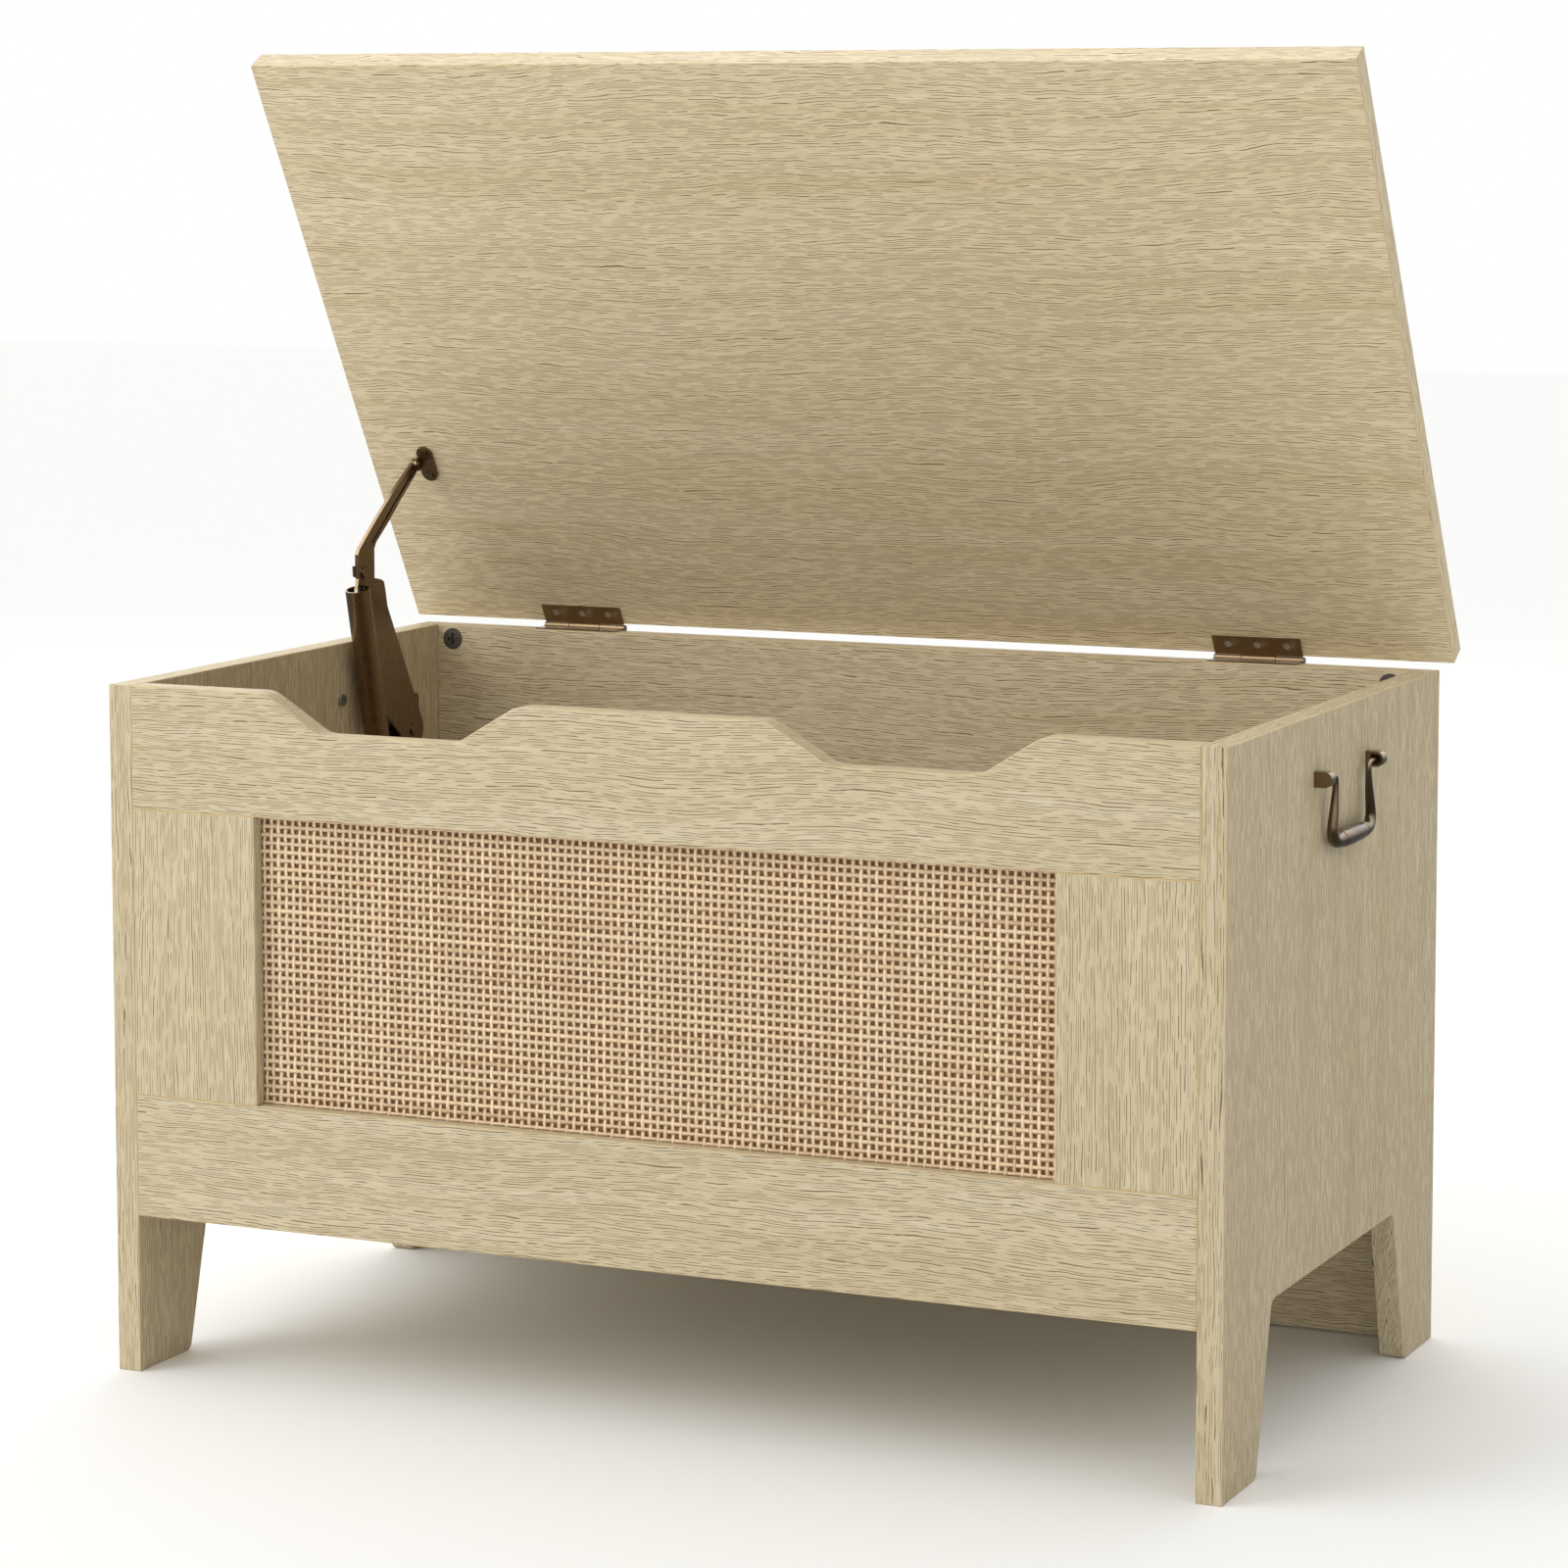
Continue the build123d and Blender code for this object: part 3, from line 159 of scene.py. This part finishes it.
def oak(name, grain, across, face, seed, waviness, tint):
    """Embossed light oak melamine with fine dark pores in wavering lines, and a painted highlight beside
    each line of pores.
    grain, across and face are the board's own directions, and on its banded ends the grain
    runs along the edge. waviness scales how far the grain wanders, and tint scales the
    brightness as painted light and shade: above 1 a board is painted brighter than the lamps light it,
    below 1 darker."""
    s = Shader(name, roughness=0.56, specular=0.32)
    place = s.coords.outputs["Object"]
    deep = s.dot(place, face)
    end = s.math("GREATER_THAN", s.math("ABSOLUTE", s.dot(s.coords.outputs["Normal"], grain)), 0.7)
    width = s.dot(place, across)
    along = s.math("ADD", s.dot(place, grain), s.math("MULTIPLY", end, width))
    along = s.math("ADD", along, seed)
    side = s.math("ADD", s.math("MULTIPLY", s.math("SUBTRACT", 1.0, end), width), deep)

    def field(per_along, per_across, detail, rough=0.5, offset=0.0, sideways=side):
        """Noise drawn out along the grain: its cells per metre along and across."""
        vector = s.combine(
            s.math("MULTIPLY", along, per_along),
            s.math("ADD", s.math("MULTIPLY", sideways, per_across), offset),
            s.math("MULTIPLY", deep, per_across),
        )
        return s.noise(vector, detail=detail, roughness=rough)

    drift = s.math("SUBTRACT", field(4.0, 7.0, 1.0), 0.5)
    ripple = s.math("SUBTRACT", field(40.0, 45.0, 2.0, offset=7.0), 0.5)
    bent = s.math("ADD", side, s.math("MULTIPLY", drift, 0.03 * waviness))
    bent = s.math("ADD", bent, s.math("MULTIPLY", ripple, 0.0045 * waviness))

    streaks = field(30.0, 1300.0, 2.0, 0.6, sideways=bent)
    jitter = field(14.0, 190.0, 1.0, 0.5, offset=31.0, sideways=bent)
    breaks = field(80.0, 400.0, 1.0, 0.5, offset=77.0, sideways=bent)
    bands = field(2.2, 75.0, 3.0, 0.6, offset=13.0, sideways=bent)

    tone = s.ramp(streaks, (0.30, OAK_DARK), (0.47, OAK_MID), (0.55, OAK_MID), (0.70, OAK_LIGHT))
    shade = s.ramp(bands, (0.30, linear(242, 237, 225)), (0.66, linear(255, 255, 255)))
    tone = s.mix(0.9, tone, shade, "MULTIPLY")
    rows = s.math("ADD", s.math("MULTIPLY", bent, PORE_ROWS), s.math("MULTIPLY", jitter, 2.4))
    ridge = s.math("FRACT", rows)
    line = s.ramp(ridge, (0.0, 1.0), (0.16, 0.95), (0.27, 0.0))
    # painted highlight: a pale streak beside each line of pores, where the embossed ridge would catch the
    # light
    painted_glint = s.ramp(ridge, (0.72, 0.0), (0.96, 1.0))
    dark = s.math("MULTIPLY", line, s.ramp(breaks, (0.40, 0.0), (0.52, 1.0)))
    tone = s.mix(s.math("MULTIPLY", painted_glint, 0.35), tone, OAK_LIGHT)
    tone = s.mix(s.math("MULTIPLY", dark, 0.95), tone, OAK_PORE)

    # painted light and shade: the board's whole colour is scaled by its tint to stand in for how brightly
    # it is lit
    if tint != 1.0:
        tone = s.mix(1.0, tone, (tint, tint, tint, 1.0), "MULTIPLY")
    facing = s.math("ABSOLUTE", s.dot(s.coords.outputs["Normal"], face))
    band = s.math("MULTIPLY", s.math("GREATER_THAN", facing, 0.3), s.math("LESS_THAN", facing, 0.95))
    tone = s.mix(s.math("MULTIPLY", band, 0.6), tone, EDGE_BAND)
    s.colour(tone)
    s.rough(s.ramp(streaks, (0.3, 0.66), (0.7, 0.5)))
    height = s.math("SUBTRACT", s.math("MULTIPLY", streaks, 0.6), s.math("MULTIPLY", dark, 0.6))
    s.bump(height, 0.4, 0.5 * MM)
    return s.material


def bronze():
    """Antique bronze plating: a cloudy dark brown, lighter brown on sharp convex edges."""
    s = Shader("antique_bronze", roughness=0.4, metallic=0.9)
    s.shader.inputs["Coat Weight"].default_value = 0.35
    s.shader.inputs["Coat Roughness"].default_value = 0.22
    place = s.coords.outputs["Object"]
    clouds = s.noise(place, scale=140.0, detail=4.0, roughness=0.65)
    specks = s.noise(place, scale=1400.0, detail=2.0)
    geometry = s.tree.nodes.new("ShaderNodeNewGeometry")
    # lighter brown where the surface is sharply convex
    convex_edges = s.ramp(geometry.outputs["Pointiness"], (0.49, 0.0), (0.56, 1.0))
    base = s.ramp(clouds, (0.34, linear(34, 26, 18)), (0.66, linear(62, 48, 34)))
    base = s.mix(s.math("MULTIPLY", convex_edges, 0.5), base, linear(158, 132, 96))
    s.colour(base)
    s.rough(s.ramp(clouds, (0.3, 0.38), (0.7, 0.24)))
    s.bump(specks, 0.12, 0.2 * MM)
    return s.material


def steel(name, tint, roughness):
    """Zinc-plated or die-cast metal with a fine mottle."""
    s = Shader(name, roughness=roughness, metallic=0.95)
    mottle = s.noise(s.coords.outputs["Object"], scale=600.0, detail=3.0, roughness=0.6)
    dull = tuple(0.72 * c for c in tint[:3]) + (1.0,)
    s.colour(s.ramp(mottle, (0.35, dull), (0.65, tint)))
    s.bump(mottle, 0.08, 0.1 * MM)
    return s.material


def cane(name, grain, across, tint, seed):
    """Split cane: long fibres along the strand, each strand a little different."""
    s = Shader(name, roughness=0.52, specular=0.35)
    place = s.coords.outputs["Object"]
    along = s.math("ADD", s.dot(place, grain), seed)
    side = s.dot(place, across)

    def field(per_along, per_across, detail, offset=0.0):
        vector = s.combine(
            s.math("MULTIPLY", along, per_along), s.math("MULTIPLY", side, per_across), offset
        )
        return s.noise(vector, detail=detail)

    strand = field(5.0, 205.0, 1.0)
    fibre = field(70.0, 2600.0, 2.0)
    stain = field(28.0, 190.0, 2.0, offset=5.0)
    light = tuple(min(1.0, 1.16 * c) for c in tint[:3]) + (1.0,)
    dark = tuple(c * k for c, k in zip(tint[:3], (0.80, 0.74, 0.66))) + (1.0,)
    tone = s.ramp(strand, (0.30, dark), (0.46, tint), (0.70, light))
    furrow = s.ramp(fibre, (0.32, 1.0), (0.46, 0.0))
    blotch = s.ramp(stain, (0.64, 0.0), (0.72, 1.0))
    tone = s.mix(s.math("MULTIPLY", furrow, 0.30), tone, linear(150, 112, 76))
    tone = s.mix(s.math("MULTIPLY", blotch, 0.45), tone, linear(214, 160, 96))
    s.colour(tone)
    s.bump(fibre, 0.25, 0.15 * MM)
    return s.material


def board_back(name, light, dark):
    """Plain wood-based board: a fine mottle of fibres."""
    s = Shader(name, roughness=0.8, specular=0.2)
    mottle = s.noise(s.coords.outputs["Object"], scale=420.0, detail=4.0, roughness=0.7)
    s.colour(s.ramp(mottle, (0.34, dark), (0.66, light)))
    s.bump(mottle, 0.15, 0.2 * MM)
    return s.material


X, Y, Z = (1.0, 0.0, 0.0), (0.0, 1.0, 0.0), (0.0, 0.0, 1.0)

# Each board: grain, across, face, seed, waviness and tint; the tint is painted light and shade that scales
# the board's brightness for how the lamps light it
BOARDS = {
    # painted light: the lid, facing down and away from the lamps, is painted brighter
    "lid": (X, LID_ACROSS, LID_NORMAL, 2.0, 1.1, 1.19),
    "left_side_panel": (Z, Y, X, 4.0, 0.4, 1.0),
    # painted shade: the right side is painted a little darker
    "right_side_panel": (Z, Y, X, 7.3, 0.4, 0.97),
    "back_panel": (X, Z, Y, 9.1, 0.8, 1.1),
    "bottom_panel": (X, Y, Z, 12.4, 0.8, 1.0),
    "front_top_rail": (X, Z, Y, 15.7, 0.7, 1.0),
    "front_bottom_rail": (X, Z, Y, 18.2, 0.7, 1.0),
    "front_left_stile": (Z, X, Y, 21.5, 0.4, 1.0),
    "front_right_stile": (Z, X, Y, 24.6, 0.4, 1.0),
}
OAKS = {board: oak(f"oak_{board}", *values) for board, values in BOARDS.items()}

BRONZE = bronze()
ZINC = steel("zinc_plate", linear(176, 176, 170), 0.38)
CAM = steel("cam_alloy", linear(92, 88, 80), 0.5)
SPRING = steel("spring_steel", linear(140, 140, 138), 0.35)
BACKING = board_back("backing_board", linear(146, 104, 64), linear(108, 74, 44))
STRIPS = board_back("strip_wood", linear(214, 190, 148), linear(188, 160, 116))
DOWELS = board_back("dowel_wood", linear(222, 196, 154), linear(196, 166, 120))
SLOTS = {
    "backing_board": BACKING,
    "strip_wood": STRIPS,
    "dowel_wood": DOWELS,
    "screw_steel": ZINC,
    "cam_zinc": CAM,
    "spring_steel": SPRING,
    "bronze": BRONZE,
}
for part in frame["record"]["subparts"]:
    chosen = OAKS.get(part["node"]) or SLOTS.get(part["material_slot"])
    if chosen:
        for material_slot in frame["nodes"][part["node"]].material_slots:
            material_slot.material = chosen

# Pieces


def piece(name, points, faces, material, body, replaced):
    """A smooth mesh from points and faces that rides on a body in place of a CAD node."""
    mesh = bpy.data.meshes.new(name)
    mesh.from_pydata([tuple(p) for p in points], [], [tuple(f) for f in faces])
    mesh.validate()
    mesh.polygons.foreach_set("use_smooth", [True] * len(mesh.polygons))
    mesh.materials.append(material)
    obj = bpy.data.objects.new(name, mesh)
    bpy.context.scene.collection.objects.link(obj)
    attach(obj, body)
    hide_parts(replaced)


# Woven cane: flat strands that pass over and under each other, closed meshes of four-sided section

WEAVE_PITCH_X = 5.08 * MM
WEAVE_PITCH_Z = 5.24 * MM
STRAND_X = 2.5 * MM              # width of the upright strands
STRAND_Z = 2.75 * MM             # width of the level strands
STRAND_THICK = 0.5 * MM
STRAND_LEAST = 1.4 * MM          # no strand gets narrower than this
STRAND_MOST = 0.92               # or wider than this share of the pitch
WEAVE_RISE = 0.36 * MM
WANDER = 0.13 * MM               # how far a strand strays from its line
WANDER_KNOTS = 9
STRAND_SPREAD = 0.06             # how much the strands' widths differ
STRAND_UNEVEN = 0.05             # how much one strand's width varies along it
STEPS = 4                        # lengths of mesh between crossings
CORNERS = 4                      # of a strand's section

web_low, web_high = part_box("rattan_webbing")
web_mid = (web_low[1] + web_high[1]) / 2


def bar_faces(base, rings, sides):
    """The side faces of a bar whose points are rings one after another."""
    faces = []
    for ring in range(rings - 1):
        for k in range(sides):
            a = base + ring * sides + k
            b = base + ring * sides + (k + 1) % sides
            faces.append((a, b, b + sides, a + sides))
    return faces


def weave(name, level, material, draw):
    """All strands in one direction as one piece."""
    run_axis, rank_axis = (0, 2) if level else (2, 0)
    run_pitch = WEAVE_PITCH_X if level else WEAVE_PITCH_Z
    rank_pitch = WEAVE_PITCH_Z if level else WEAVE_PITCH_X
    width = STRAND_Z if level else STRAND_X
    run_low, run_high = web_low[run_axis], web_high[run_axis]
    rank_low, rank_high = web_low[rank_axis], web_high[rank_axis]
    ranks = int((rank_high - rank_low) / rank_pitch) + 1
    runs = int((run_high - run_low) / run_pitch)
    start = rank_low + ((rank_high - rank_low) - (ranks - 1) * rank_pitch) / 2
    reach = np.linspace(run_low, run_high, runs * STEPS + 1)
    knots = np.linspace(run_low, run_high, WANDER_KNOTS)
    all_points, all_faces = [], []
    for rank in range(ranks):
        stray = np.interp(reach, knots, draw.normal(0, WANDER, WANDER_KNOTS))
        centre = start + rank * rank_pitch + stray
        wide = width * (1 + draw.normal(0, STRAND_SPREAD))
        wide = wide * (1 + STRAND_UNEVEN * draw.standard_normal(len(reach)))
        half = np.clip(wide, STRAND_LEAST, STRAND_MOST * rank_pitch) / 2
        phase = (reach - run_low) / run_pitch * pi + rank * pi + (0 if level else pi)
        middle = web_mid - WEAVE_RISE * np.cos(phase)
        left = np.maximum(centre - half, rank_low)
        right = np.minimum(centre + half, rank_high)
        crown = (left + right) / 2
        section = []
        for offset, depth in ((left, 0), (crown, -STRAND_THICK / 2), (right, 0), (crown, STRAND_THICK / 2)):
            line = np.zeros((len(reach), 3))
            line[:, run_axis] = reach
            line[:, rank_axis] = offset
            line[:, 1] = middle + depth
            section.append(line)
        base = sum(len(points) for points in all_points)
        last = base + CORNERS * (len(reach) - 1)
        all_faces += bar_faces(base, len(reach), CORNERS)
        all_faces.append((base + 3, base + 2, base + 1, base))
        all_faces.append((last, last + 1, last + 2, last + 3))
        all_points.append(np.stack(section, 1).reshape(-1, 3))
    piece(name, np.concatenate(all_points), all_faces, material, "carcass", "rattan_webbing")


draws = np.random.default_rng(11)
weave(
    "cane_upright_strands", False,
    cane("cane_upright", Z, X, linear(232, 208, 174), 3.0), draws,
)
weave(
    "cane_level_strands", True,
    cane("cane_level", X, Z, linear(224, 197, 163), 8.0), draws,
)

# Bails: a swept bar whose thickness changes, with a turned grip


def tube(path, radii, sides):
    """Points and faces of a closed round bar along a path, with a radius at each point."""
    path = [Vector(place) for place in path]
    points = []
    side = Vector(X)
    for i, place in enumerate(path):
        ahead = (path[min(i + 1, len(path) - 1)] - path[max(i - 1, 0)]).normalized()
        side = (side - ahead * side.dot(ahead)).normalized()
        other = ahead.cross(side)
        for k in range(sides):
            turn = 2 * pi * k / sides
            points.append(place + (side * cos(turn) + other * sin(turn)) * radii[i])
    faces = bar_faces(0, len(path), sides)
    faces.append(tuple(range(sides))[::-1])
    faces.append(tuple(range((len(path) - 1) * sides, len(path) * sides)))
    return points, faces


def smooth_path(knots, count):
    """A Catmull-Rom line through the knots, in that many steps from each to the next."""
    knots = [knots[0]] + list(knots) + [knots[-1]]
    result = []
    for four in zip(knots, knots[1:], knots[2:], knots[3:]):
        for step in range(count):
            t = step / count
            weights = (
                -t + 2 * t ** 2 - t ** 3,
                2 - 5 * t ** 2 + 3 * t ** 3,
                t + 4 * t ** 2 - 3 * t ** 3,
                -t ** 2 + t ** 3,
            )
            result.append(tuple(
                sum(weight * value for weight, value in zip(weights, values)) / 2
                for values in zip(*four)
            ))
    result.append(tuple(knots[-1]))
    return result


# Half a bail from its tip to the middle, in millimetres: (out from the middle, below the axis, radius)
BAIL_KNOTS = [
    (53.5, 0.0, 1.5), (44.0, 0.0, 1.5), (37.0, 0.0, 1.6), (33.6, 0.8, 1.7), (32.4, 3.9, 1.8),
    (32.9, 10.5, 2.1), (34.6, 19.2, 2.7), (36.8, 27.4, 3.1), (37.6, 32.4, 3.3), (36.2, 36.4, 3.6),
    (32.4, 39.0, 4.0), (27.5, 39.7, 4.4), (24.4, 39.7, 4.7), (22.4, 39.7, 4.85), (22.0, 39.7, 4.2),
    (21.3, 39.7, 4.2), (20.9, 39.7, 4.95), (19.7, 39.7, 5.0), (19.3, 39.7, 4.35), (18.6, 39.7, 4.35),
    (18.2, 39.7, 5.1), (13.0, 39.7, 5.45), (6.0, 39.7, 5.65), (0.0, 39.7, 5.7),
]
BAIL_AXIS_X = 373.4
BAIL_AXIS_Z = 397.0
BAIL_MIDDLE_Y = -4.0
BAIL_STEPS = 5                   # lengths of mesh between knots
BAIL_SIDES = 28

half_bail = smooth_path(BAIL_KNOTS, BAIL_STEPS)
whole_bail = [(-y, z, r) for y, z, r in half_bail] + half_bail[-2::-1]
for sign, word in ((-1, "left"), (1, "right")):
    line = [
        (sign * BAIL_AXIS_X * MM, (BAIL_MIDDLE_Y + y) * MM, (BAIL_AXIS_Z - z) * MM)
        for y, z, _ in whole_bail
    ]
    points, faces = tube(line, [radius * MM for _, _, radius in whole_bail], BAIL_SIDES)
    piece(
        f"{word}_bail_cast", points, faces, BRONZE, f"{word}_bail", f"{word}_handle_bail"
    )

# Small bevels on the CAD's metal pieces catch the light
for part in frame["record"]["subparts"]:
    if part["material_slot"] == "bronze" and "bail" not in part["node"]:
        thing = frame["nodes"][part["node"]]
        bevel = thing.modifiers.new("soft_edges", "BEVEL")
        bevel.width = 0.25 * MM
        bevel.segments = 2
        bevel.limit_method = "ANGLE"
        bevel.angle_limit = radians(40)

# Floor, light and camera

floor_shader = Shader("floor_paper", roughness=0.9, specular=0.1)
floor_shader.colour(linear(250, 250, 248))
floor_mesh = bpy.data.meshes.new("floor")
FLOOR = 12.0                     # half the floor's side, in metres
corners = [(x * FLOOR, y * FLOOR, 0) for x, y in ((-1, -1), (1, -1), (1, 1), (-1, 1))]
floor_mesh.from_pydata(corners, [], [(0, 1, 2, 3)])
floor_mesh.materials.append(floor_shader.material)
floor = bpy.data.objects.new("floor", floor_mesh)
bpy.context.scene.collection.objects.link(floor)
floor.visible_glossy = False     # metal mirrors the room below the horizon, not the white paper

# The room: white to the camera, brighter on the left than on the right, and for mirrors
# dim at the sides with a bright ceiling
world = bpy.data.worlds.new("studio")
bpy.context.scene.world = world
world.use_nodes = True
nodes = world.node_tree.nodes
sky = nodes["Background"]
sky.inputs["Color"].default_value = (1.0, 1.0, 1.0, 1.0)
direction = nodes.new("ShaderNodeTexCoord")
split = nodes.new("ShaderNodeSeparateXYZ")
seen = nodes.new("ShaderNodeLightPath")


def fade(source, start, end, first, last):
    """A strength that runs from first to last while the source runs from start to end."""
    node = nodes.new("ShaderNodeMapRange")
    for socket, value in zip(("From Min", "From Max", "To Min", "To Max"), (start, end, first, last)):
        node.inputs[socket].default_value = value
    world.node_tree.links.new(source, node.inputs["Value"])
    return node.outputs["Result"]


def choose(test, otherwise):
    """A mix node that passes its B input where the test holds and the other strength elsewhere."""
    node = nodes.new("ShaderNodeMix")
    world.node_tree.links.new(test, node.inputs[0])
    world.node_tree.links.new(otherwise, node.inputs[2])
    return node


world.node_tree.links.new(direction.outputs["Generated"], split.inputs[0])
from_left = fade(split.outputs["X"], -1.0, 1.0, 1.35, 0.53)
from_above = fade(split.outputs["Z"], -0.1, 0.8, 0.2, 4.0)
for_mirrors = choose(seen.outputs["Is Glossy Ray"], from_left)
world.node_tree.links.new(from_above, for_mirrors.inputs[3])
for_camera = choose(seen.outputs["Is Camera Ray"], for_mirrors.outputs[0])
for_camera.inputs[3].default_value = 1.0
world.node_tree.links.new(for_camera.outputs[0], sky.inputs["Strength"])


def area_light(name, place, target, size, power):
    """A soft box that faces its target, its power in watts."""
    light = bpy.data.lights.new(name, "AREA")
    light.shape = "RECTANGLE"
    light.size, light.size_y = size
    light.energy = power
    obj = bpy.data.objects.new(name, light)
    obj.location = place
    obj.rotation_euler = (Vector(target) - Vector(place)).to_track_quat("-Z", "Y").to_euler()
    bpy.context.scene.collection.objects.link(obj)


area_light("key", (-2.4, -2.4, 2.2), (0, 0, 0.35), (2.2, 2.2), 38)
area_light("rim", (-0.5, 2.4, 2.6), (0, 0, 0.4), (2.5, 1.5), 20)

CAMERA_PLACE = (1.2148, -2.6711, 0.7775)
CAMERA_DOWN = radians(5.68)
CAMERA_TURN = radians(23.946)

camera_data = bpy.data.cameras.new("camera")
camera = bpy.data.objects.new("camera", camera_data)
camera_data.sensor_width = 36.0
camera_data.lens = 107.4
camera_data.shift_x = -0.0288
camera_data.shift_y = -0.12
camera_data.dof.use_dof = False
camera_data.clip_start, camera_data.clip_end = 0.1, 60.0
camera.location = CAMERA_PLACE
camera.rotation_euler = (pi / 2 - CAMERA_DOWN, 0.0, CAMERA_TURN)
bpy.context.scene.collection.objects.link(camera)
bpy.context.scene.camera = camera
bpy.context.scene.view_settings.view_transform = "Standard"
